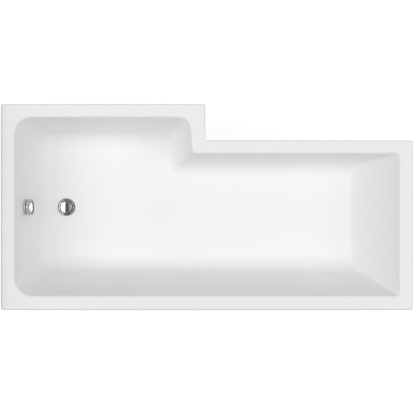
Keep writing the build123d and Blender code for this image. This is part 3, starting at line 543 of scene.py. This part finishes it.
def rough_relief(tree, shader, height, strength, distance):
    """Presses a height pattern into the surface, distance metres deep at full strength."""
    bump = lay(tree, "ShaderNodeBump", {"Height": height, "Strength": strength, "Distance": distance})
    tree.links.new(bump.outputs["Normal"], shader.inputs["Normal"])


# %% [markdown]
# ## Effects that many finishes share
#
# Nothing real is one even colour. Every surface here has slow changes of tone, finer smudges left by
# hands and water, and a grain. They are built once as a group, with the size of each as an input, and
# every material gives its own values. A second group lays short strands or flakes at all angles, as in
# chopped glass and chipboard. It turns a stretched noise four ways and keeps the strongest.

# %% Shared groups
def new_group(name, inputs, outputs):
    """A node group with float sockets and a vector, its given values and its outputs to link to."""
    group = bpy.data.node_groups.new(name, "ShaderNodeTree")
    group.interface.new_socket(name="Vector", in_out="INPUT", socket_type="NodeSocketVector")
    for label, value in inputs.items():
        socket = group.interface.new_socket(name=label, in_out="INPUT", socket_type="NodeSocketFloat")
        socket.default_value = value
    for label in outputs:
        group.interface.new_socket(name=label, in_out="OUTPUT", socket_type="NodeSocketFloat")
    given, out = group.nodes.new("NodeGroupInput").outputs, group.nodes.new("NodeGroupOutput").inputs
    return group, given, out


scales = {"Tone Scale": 2.0, "Smudge Scale": 30.0, "Grain Scale": 2000.0}
group, given, out = new_group("surface_life", scales, ["Tone", "Smudge", "Grain"])
slow = lay(group, "ShaderNodeTexNoise", {
    "Vector": given["Vector"], "Scale": given["Tone Scale"], "Detail": 3.0,
})
group.links.new(spread(group, slow.outputs["Fac"], -0.3, 1.3), out["Tone"])
broken = lay(group, "ShaderNodeTexNoise", {
    "Vector": given["Vector"], "Scale": given["Smudge Scale"],
    "Detail": 6.0, "Roughness": 0.62, "Distortion": 0.4,
})
group.links.new(spread(group, broken.outputs["Fac"], -0.6, 1.6), out["Smudge"])
fine = lay(group, "ShaderNodeTexNoise", {
    "Vector": given["Vector"], "Scale": given["Grain Scale"], "Detail": 2.0,
})
group.links.new(fine.outputs["Fac"], out["Grain"])
surface_life = group

group, given, out = new_group("scattered_strands", {"Scale": 60.0, "Stretch": 14.0}, ["Strands", "Flecks"])
strongest = None
for turn in (10.0, 72.0, 131.0, 160.0):
    turned = lay(group, "ShaderNodeVectorRotate", {
        "Vector": given["Vector"], "Axis": (0.35, 0.25, 0.9), "Angle": radians(turn),
    }).outputs["Vector"]
    squeeze = lay(group, "ShaderNodeCombineXYZ", {
        "X": 1.0, "Y": given["Stretch"], "Z": given["Stretch"],
    }).outputs["Vector"]
    narrow = lay(group, "ShaderNodeVectorMath", {0: turned, 1: squeeze}, operation="MULTIPLY")
    strand = lay(group, "ShaderNodeTexNoise", {
        "Vector": narrow.outputs["Vector"], "Scale": given["Scale"], "Detail": 1.0, "Distortion": 0.15,
    }).outputs["Fac"]
    if strongest is None:
        strongest = strand
    else:
        both = lay(group, "ShaderNodeMath", {0: strongest, 1: strand}, operation="MAXIMUM")
        strongest = both.outputs["Value"]
group.links.new(lay(group, "ShaderNodeMapRange", {
    "Value": strongest, "From Min": 0.5, "From Max": 0.75,
}).outputs["Result"], out["Strands"])
cells = lay(group, "ShaderNodeTexVoronoi", {"Vector": given["Vector"], "Scale": given["Scale"]})
group.links.new(lay(group, "ShaderNodeSeparateColor", {
    "Color": cells.outputs["Color"],
}).outputs["Red"], out["Flecks"])
scattered_strands = group
print("groups:", [group.name for group in bpy.data.node_groups])


def life(tree, coordinates, tone, smudge, grain):
    """The shared tone, smudge and grain, at this surface's own scales."""
    made = lay(tree, "ShaderNodeGroup", node_tree=surface_life)
    for socket, value in (("Tone Scale", tone), ("Smudge Scale", smudge), ("Grain Scale", grain)):
        made.inputs[socket].default_value = value
    tree.links.new(coordinates, made.inputs["Vector"])
    return made.outputs


def strands(tree, coordinates, scale, stretch):
    """The shared strands or flakes."""
    made = lay(tree, "ShaderNodeGroup", node_tree=scattered_strands)
    made.inputs["Scale"].default_value = scale
    made.inputs["Stretch"].default_value = stretch
    tree.links.new(coordinates, made.inputs["Vector"])
    return made.outputs


# %% [markdown]
# ## White acrylic
#
# Cast acrylic is a deep, clean white with a slight coolness. It throws so much light about inside the
# well that its walls hardly go dark. In the photograph the gloss is soft, with no sharp reflections, so
# the surface is a satin one with slightly duller places left by rinse water.

# %% Acrylic finish
acrylic_finish, tree, shader, place = new_finish("acrylic", IOR=1.49)
marks = life(tree, place, 1.6, 22.0, 260.0)
duller, brighter = (0.912, 0.914, 0.914), (0.930, 0.931, 0.930)
tree.links.new(ramp(tree, marks["Tone"], [(0.0, duller), (1.0, brighter)]), shader.inputs["Base Color"])
tree.links.new(spread(tree, marks["Smudge"], 0.42, 0.52), shader.inputs["Roughness"])
rough_relief(tree, shader, marks["Grain"], 0.05, 0.00012)

# %% [markdown]
# ## Glass fibre, timber and chipboard
#
# The back of a bath is plain work. Chopped glass lies in wet resin at all angles and dries uneven and
# slightly green. The battens are sawn softwood, whose growth rings are a stretched wave with some
# noise in it. The base board is chipboard, made of flakes pressed in resin.

# %% Finishes behind the bath
glass_finish, tree, shader, place = new_finish(
    "glass_fibre", IOR=1.55, Coat_Weight=0.25, Coat_Roughness=0.3,
)
marks = life(tree, place, 6.0, 45.0, 900.0)
lay_up = strands(tree, place, 13.0, 22.0)
mixed = lay(tree, "ShaderNodeMath", {0: marks["Tone"], 1: 0.3}, operation="MULTIPLY")
mixed = lay(tree, "ShaderNodeMath", {0: lay_up["Strands"], 1: 0.7, 2: mixed.outputs["Value"]},
            operation="MULTIPLY_ADD").outputs["Value"]
tree.links.new(ramp(tree, mixed, [
    (0.0, (0.55, 0.56, 0.44)),
    (0.35, (0.68, 0.68, 0.56)),
    (0.75, (0.84, 0.83, 0.74)),
    (1.0, (0.90, 0.89, 0.82)),
]), shader.inputs["Base Color"])
tree.links.new(spread(tree, marks["Smudge"], 0.28, 0.62), shader.inputs["Roughness"])
lumps = lay(tree, "ShaderNodeMath", {0: marks["Smudge"], 1: 0.8, 2: lay_up["Strands"]},
            operation="MULTIPLY_ADD").outputs["Value"]
rough_relief(tree, shader, lumps, 0.8, 0.0008)

board_finish, tree, shader, place = new_finish("chipboard", Roughness=0.78)
chips = strands(tree, place, 75.0, 4.0)
marks = life(tree, place, 9.0, 160.0, 1400.0)
flake = lay(tree, "ShaderNodeMath", {0: chips["Flecks"], 1: 0.6}, operation="MULTIPLY")
flake = lay(tree, "ShaderNodeMath", {0: chips["Strands"], 1: 0.4, 2: flake.outputs["Value"]},
            operation="MULTIPLY_ADD").outputs["Value"]
tree.links.new(ramp(tree, flake, [
    (0.0, (0.20, 0.125, 0.062)),
    (0.3, (0.42, 0.29, 0.16)),
    (0.65, (0.56, 0.41, 0.24)),
    (1.0, (0.70, 0.55, 0.36)),
]), shader.inputs["Base Color"])
tree.links.new(spread(tree, marks["Smudge"], 0.62, 0.9), shader.inputs["Roughness"])
rough_relief(tree, shader, flake, 0.5, 0.0004)


def timber_finish(name, along):
    """Sawn softwood with its grain along X or Y."""
    finish, tree, shader, place = new_finish(name)
    turn = (0.0, 0.0, 0.0) if along == "X" else (0.0, 0.0, pi / 2)
    grain_place = lay(tree, "ShaderNodeMapping", {
        "Vector": place, "Rotation": turn, "Scale": (0.06, 1.0, 1.0), "Location": (0.0, 0.013, 0.02),
    }).outputs["Vector"]
    rings = lay(tree, "ShaderNodeTexWave", {
        "Vector": grain_place, "Scale": 42.0, "Distortion": 5.0, "Detail": 3.0, "Detail Scale": 1.2,
    }, wave_type="RINGS", rings_direction="X", wave_profile="SAW").outputs["Fac"]
    marks = life(tree, grain_place, 30.0, 420.0, 2600.0)
    mixed = lay(tree, "ShaderNodeMath", {0: marks["Smudge"], 1: 0.25, 2: rings}, operation="MULTIPLY_ADD")
    tree.links.new(ramp(tree, mixed.outputs["Value"], [
        (0.0, (0.74, 0.55, 0.33)),
        (0.6, (0.66, 0.45, 0.24)),
        (0.93, (0.50, 0.30, 0.14)),
        (1.0, (0.58, 0.38, 0.20)),
    ]), shader.inputs["Base Color"])
    tree.links.new(spread(tree, marks["Smudge"], 0.55, 0.8), shader.inputs["Roughness"])
    rough_relief(tree, shader, marks["Smudge"], 0.4, 0.0003)
    return finish


timber_along_x = timber_finish("softwood_lengthways", "X")
timber_along_y = timber_finish("softwood_crossways", "Y")

# %% [markdown]
# ## Metals
#
# Chrome is a clean mirror that mostly shows the room, with a few water marks. The waste's brim gets
# a darker copy of the chrome, whose colour paints onto it the dark reflection it would show: painted
# shade. Zinc plate is greyer, cloudier and faintly blue or yellow. Stainless steel and brass are
# duller, with a fine grain. One function makes all five from their own colours and roughness, since
# they differ only in these. The scales are those of the tone, the smudges and the grain, and the
# relief of the grain is in metres.

# %% Metal finishes
def metal_finish(name, dull, bright, low, high, scales, relief):
    finish, tree, shader, place = new_finish(name, Metallic=1.0)
    marks = life(tree, place, *scales)
    tree.links.new(ramp(tree, marks["Tone"], [(0.0, dull), (1.0, bright)]), shader.inputs["Base Color"])
    tree.links.new(spread(tree, marks["Smudge"], low, high), shader.inputs["Roughness"])
    rough_relief(tree, shader, marks["Grain"], 0.3, relief)
    return finish


chrome = metal_finish("chrome", (0.55, 0.56, 0.575), (0.63, 0.64, 0.65), 0.035, 0.11,
                      (40, 160, 900), 0.000006)
# A darker copy of the chrome for the waste's brim, whose colour paints in a dark reflection: painted
# shade.
painted_shade_chrome = metal_finish("painted_shade_chrome", (0.27, 0.275, 0.285), (0.35, 0.355, 0.36), 0.06, 0.16,
                           (40, 160, 900), 0.000006)
zinc = metal_finish("zinc_plate", (0.47, 0.49, 0.53), (0.66, 0.66, 0.63), 0.28, 0.5,
                    (14, 85, 1500), 0.00005)
stainless = metal_finish("stainless", (0.55, 0.55, 0.55), (0.68, 0.68, 0.67), 0.2, 0.38,
                         (60, 300, 2500), 0.00002)
brass = metal_finish("brass", (0.62, 0.42, 0.17), (0.80, 0.60, 0.28), 0.2, 0.42,
                     (60, 300, 2500), 0.00002)

# %% [markdown]
# ## Plastics and rubber
#
# Moulded plastic has a fine, even grain from its tool and slow changes where it cooled. The waste and
# hose are off-white and grey, the feet and cable dark, the seals black rubber with a dusty bloom.

# %% Plastic and rubber finishes
def moulded_finish(name, dark, light, low, high, scales, relief, **constants):
    finish, tree, shader, place = new_finish(name, **constants)
    marks = life(tree, place, *scales)
    tree.links.new(ramp(tree, marks["Tone"], [(0.0, dark), (1.0, light)]), shader.inputs["Base Color"])
    tree.links.new(spread(tree, marks["Smudge"], low, high), shader.inputs["Roughness"])
    rough_relief(tree, shader, marks["Grain"], 0.4, relief)
    return finish


waste_plastic = moulded_finish("waste_plastic", (0.70, 0.70, 0.68), (0.80, 0.80, 0.785), 0.25, 0.42,
                               (18, 120, 2200), 0.00006, IOR=1.49)
hose_plastic = moulded_finish("hose_plastic", (0.50, 0.51, 0.52), (0.63, 0.64, 0.65), 0.35, 0.55,
                              (25, 150, 1800), 0.00006, IOR=1.5)
foot_plastic = moulded_finish("foot_plastic", (0.025, 0.026, 0.028), (0.06, 0.062, 0.065), 0.4, 0.62,
                              (35, 220, 2600), 0.0001, IOR=1.5)
seal_rubber = moulded_finish("seal_rubber", (0.02, 0.02, 0.02), (0.06, 0.058, 0.055), 0.6, 0.85,
                             (50, 260, 2400), 0.0001, IOR=1.52)
cable_sheath = moulded_finish("cable_sheath", (0.015, 0.015, 0.017), (0.035, 0.035, 0.038), 0.35, 0.5,
                              (40, 300, 2800), 0.00005, IOR=1.5)
bath.data.materials.append(acrylic_finish)
coat_piece.data.materials.append(glass_finish)
print("finishes:", len(bpy.data.materials))

# %% [markdown]
# ## Smooth copies of the CAD parts
#
# A CAD node arrives as loose flat triangles. A copy of it is merged into one skin, the triangles of
# each flat face are joined, and the hard edges are eased by a fraction of a millimetre, as real edges
# are. They then catch a line of light. The copy stands for its node and rides on the same body.

# %% Dress a CAD node
def dressed(node, finish, arris):
    """A merged, eased and smoothly shaded copy of a CAD node. arris is the width of its edges in mm."""
    source = frame["nodes"][node]
    copy = bmesh.new()
    copy.from_mesh(source.data)
    bmesh.ops.remove_doubles(copy, verts=copy.verts, dist=0.002 * MM)
    bmesh.ops.dissolve_limit(copy, angle_limit=radians(0.1), verts=copy.verts, edges=copy.edges)
    if arris:
        hard = [edge for edge in copy.edges if edge.is_manifold and edge.calc_face_angle() > SHARP]
        bmesh.ops.bevel(copy, geom=hard, offset=arris * MM, offset_type="OFFSET", segments=2, profile=0.5,
                        affect="EDGES", clamp_overlap=True, material=-1)
    shade(copy)
    piece = piece_from(copy, f"{node}_dressed", source["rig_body"])
    piece.data.materials.clear()
    piece.data.materials.append(finish)
    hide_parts(node)


# Each row: the finish, its slot in the record, the width of its eased edges, and the nodes
dressing = [
    (chrome, "chrome", 0.25, ["control_knob", "overflow_plate", "plug_cap"]),
    # The brim's darker chrome is painted shade, a painted dark reflection.
    (painted_shade_chrome, "chrome", 0.25, ["waste_flange"]),
    (zinc, "zinc_steel", 0.3, ["cross_rail_tap_end", "cross_rail_head_end", "centre_foot_bracket"]),
    (zinc, "zinc_steel", 0.3, ["wall_bracket_left", "wall_bracket_right", "wall_bracket_tap_end"]),
    (zinc, "zinc_steel", 0.4, ["foot_nuts"]),
    (zinc, "zinc_steel", 0.15, ["frame_screws", "bracket_screws"]),
    (timber_along_x, "batten_timber", 0.8, ["batten_back", "batten_front_wide", "batten_front_narrow"]),
    (timber_along_y, "batten_timber", 0.8, ["batten_tap_end", "batten_step", "batten_head_end"]),
    (board_finish, "chipboard", 0.5, ["base_board"]),
    (waste_plastic, "waste_plastic", 0.3, ["waste_body", "overflow_elbow"]),
    (hose_plastic, "hose_plastic", 0.0, ["overflow_hose"]),
    (foot_plastic, "foot_plastic", 0.5, [f"foot_pad_{i}" for i in range(1, 6)]),
    (seal_rubber, "seal_rubber", 0.2, ["waste_seal_upper", "waste_seal_lower"]),
    (seal_rubber, "seal_rubber", 0.2, ["overflow_seal", "plug_seal"]),
    (stainless, "stainless", 0.15, ["hose_clip_upper", "hose_clip_lower"]),
    (stainless, "stainless", 0.15, ["overflow_screws", "lever_pin"]),
    (stainless, "stainless", 0.1, ["knob_grub_screw"]),
    (brass, "brass", 0.2, ["plug_stem", "lift_lever", "knob_spindle", "knob_crank"]),
    (cable_sheath, "cable_sheath", 0.0, ["control_cable"]),
]
for finish, slot, arris, nodes in dressing:
    for node in nodes:
        dressed(node, finish, arris)

# %% [markdown]
# ## Threaded rods
#
# Each foot turns on an M12 rod, and its thread is plain to see between pad and rail. A zigzag line as
# long as the rod is spun once round, climbing by one pitch on the way, so that it meets itself one
# tooth higher. The ends are then cut square with a plane and filled.

# %% Rods
thread_pitch, thread_root, thread_steps = 1.75, 5.15, 24


def threaded_rod(node):
    """A rod with a real helical thread, as long and as thick as its CAD node."""
    low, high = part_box(node)
    centre = (low + high) / 2 / MM
    crest = (high.x - low.x) / 2 / MM
    bottom, top = low.z / MM, high.z / MM
    rod = bmesh.new()
    # One tooth, as points with a radius and a rise, which is a share of the pitch. The spare teeth at the
    # two ends are cut away below.
    tooth = [(crest, 0.0), (crest, 0.15), (thread_root, 0.5), (thread_root, 0.65)]
    teeth = int((top - bottom) / thread_pitch) + 3
    profile = []
    for i in range(teeth):
        profile += [(radius, (i - 1 + rise) * thread_pitch) for radius, rise in tooth]
    verts = [rod.verts.new((radius, 0, bottom + climb)) for radius, climb in profile]
    edges = [rod.edges.new(pair) for pair in zip(verts, verts[1:])]
    bmesh.ops.spin(rod, geom=verts + edges, cent=(0, 0, 0), axis=(0, 0, 1), angle=2 * pi,
                   steps=thread_steps, dvec=(0, 0, thread_pitch / thread_steps), use_merge=False)
    bmesh.ops.remove_doubles(rod, verts=rod.verts, dist=0.01)
    for height, side in ((bottom, -1), (top, 1)):
        cut = bmesh.ops.bisect_plane(rod, geom=rod.verts[:] + rod.edges[:] + rod.faces[:], dist=1e-5,
                                     plane_co=(0, 0, height), plane_no=(0, 0, side), clear_outer=True)
        rim = [part for part in cut["geom_cut"] if isinstance(part, bmesh.types.BMEdge)]
        bmesh.ops.holes_fill(rod, edges=rim, sides=0)
    bmesh.ops.recalc_face_normals(rod, faces=rod.faces)
    shade(rod)
    bmesh.ops.translate(rod, vec=(centre.x, centre.y, 0), verts=rod.verts)
    bmesh.ops.scale(rod, vec=(MM, MM, MM), verts=rod.verts)
    piece = piece_from(rod, f"{node}_threaded", frame["nodes"][node]["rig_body"])
    piece.data.materials.append(zinc)
    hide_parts(node)


for i in range(1, 6):
    threaded_rod(f"foot_rod_{i}")

# %% [markdown]
# ## Floor, backdrop and light
#
# The bath is photographed on pure white. To the camera, and in mirrors such as the chrome, the floor
# is white paper that glows by about as much as the lamps leave it short of white, and the world is
# white. The bath's shadow stays on it. To all other light the floor is grey, because light thrown up by
# a white one washes out the bath's edges. From below it is clear, so the underside can be seen.
#
# The main light is a very large soft lamp high over the tap end, so the tap end's wall turns away from
# it and the slope at the head end faces it. Two cards hang in the gap between the lamps, right above
# the waste. Chrome in an all-white studio looks like white plastic, and the cards give the plug and the
# knob their dark bands. Two black strips stand beside the rim, as a photographer of white things on
# white would place them, and draw a fine dark line along its edge. The camera looks through all four.

# %% Stage
def stage_plane(name, size, height):
    sheet = bmesh.new()
    bmesh.ops.create_grid(sheet, x_segments=1, y_segments=1, size=size)
    bmesh.ops.translate(sheet, vec=(0, 0, height), verts=sheet.verts)
    data = bpy.data.meshes.new(name)
    sheet.to_mesh(data)
    sheet.free()
    plane = bpy.data.objects.new(name, data)
    bpy.context.scene.collection.objects.link(plane)
    return plane


def plainly_seen(tree):
    """1 where the camera sees a surface directly, in a mirror or through glass."""
    path = lay(tree, "ShaderNodeLightPath").outputs
    mirrored = lay(tree, "ShaderNodeMath", {0: path["Is Glossy Ray"], 1: path["Is Transmission Ray"]},
                   operation="MAXIMUM").outputs["Value"]
    seen = lay(tree, "ShaderNodeMath", {0: path["Is Camera Ray"], 1: mirrored}, operation="MAXIMUM")
    return seen.outputs["Value"]


def see_through(tree, where, surface):
    """Ends a material with its surface, clear where a mask is 1."""
    clear = lay(tree, "ShaderNodeBsdfTransparent").outputs["BSDF"]
    mixed = lay(tree, "ShaderNodeMixShader", {0: where, 1: surface, 2: clear}).outputs["Shader"]
    tree.links.new(mixed, tree.nodes["Material Output"].inputs["Surface"])


# Light in the room: the floor and the world are white where they are plainly seen and greyer elsewhere
floor_half_width, floor_height = 9.0, -0.0005
grey_floor, white_floor = 0.34, 0.78
glow_share, glow_strength = 0.65, 1.32
grey_world, white_world = 0.42, 1.0
floor = stage_plane("studio_floor", floor_half_width, floor_height)
floor_finish, tree, shader, place = new_finish("studio_floor", Roughness=0.9)
marks = life(tree, place, 0.6, 6.0, 300.0)
seen = plainly_seen(tree)
paper = spread(tree, seen, grey_floor, white_floor)
toned = lay(tree, "ShaderNodeMath", {0: marks["Tone"], 1: 0.02, 2: paper}, operation="MULTIPLY_ADD")
tree.links.new(toned.outputs["Value"], shader.inputs["Base Color"])
white = lay(tree, "ShaderNodeEmission", {"Color": (1, 1, 1, 1), "Strength": glow_strength})
share = lay(tree, "ShaderNodeMath", {0: seen, 1: glow_share}, operation="MULTIPLY")
blend = lay(tree, "ShaderNodeMixShader", {
    0: share.outputs["Value"], 1: shader.outputs["BSDF"], 2: white.outputs["Emission"],
})
from_below = lay(tree, "ShaderNodeNewGeometry").outputs["Backfacing"]
see_through(tree, from_below, blend.outputs["Shader"])
floor.data.materials.append(floor_finish)

world = bpy.data.worlds.new("studio")
bpy.context.scene.world = world
world.use_nodes = True
tree = world.node_tree
tree.nodes.clear()
strength = spread(tree, plainly_seen(tree), grey_world, white_world)
sky = lay(tree, "ShaderNodeBackground", {"Color": (1, 1, 1, 1), "Strength": strength})
lay(tree, "ShaderNodeOutputWorld", {"Surface": sky.outputs["Background"]})


def lamp(name, place, target, size, power):
    """A soft rectangular lamp that faces its target. Sizes are in metres and power in watts."""
    light = bpy.data.lights.new(name, "AREA")
    light.shape = "RECTANGLE"
    light.size, light.size_y = size
    light.energy = power
    holder = bpy.data.objects.new(name, light)
    holder.location = place
    holder.rotation_euler = (Vector(target) - Vector(place)).to_track_quat("-Z", "Y").to_euler()
    bpy.context.scene.collection.objects.link(holder)


lamp_height, card_height = 9.8, 9.3
lamp("main_light", (-4.8, -0.7, lamp_height), (0.0, 0.0, 0.3), (5.8, 8.0), 440)
lamp("fill_light", (4.6, -0.4, lamp_height), (0.1, 0.0, 0.3), (5.4, 8.0), 318)

# Each row: a card's centre, its width and length, the way it is turned, its grey and its own faint glow
cards = {
    "dark_card": ((-1.05, 0.0, card_height), (1.5, 5.0), (0.0, 0.0, 0.0), 0.2, 0.06),
    "pale_card": ((0.75, 0.0, card_height), (2.1, 5.0), (0.0, 0.0, 0.0), 0.5, 0.36),
    "left_flag": ((-0.93, 0.0, 0.545), (0.21, 1.1), (0.0, pi / 2, 0.0), 0.02, 0.0),
    "back_flag": ((0.0, -0.64, 0.555), (1.9, 0.23), (pi / 2, 0.0, 0.0), 0.02, 0.0),
}
for name, (centre, size, turn, grey, glow) in cards.items():
    # The sheet starts 1 m square, so that its scale is its size in metres
    card = stage_plane(name, 0.5, 0.0)
    card.location, card.scale, card.rotation_euler = centre, (*size, 1.0), turn
    card_finish, tree, shader, place = new_finish(
        name, Roughness=1.0, Specular_IOR_Level=0.0, Emission_Strength=glow,
    )
    marks = life(tree, place, 2.0, 12.0, 300.0)
    tree.links.new(ramp(tree, marks["Tone"], [(0.0, (grey * 0.9,) * 3), (1.0, (grey * 1.1,) * 3)]),
                   shader.inputs["Base Color"])
    see_through(tree, lay(tree, "ShaderNodeLightPath").outputs["Is Camera Ray"], shader.outputs["BSDF"])
    card.data.materials.append(card_finish)
print("lamps:", [light.name for light in bpy.data.lights])
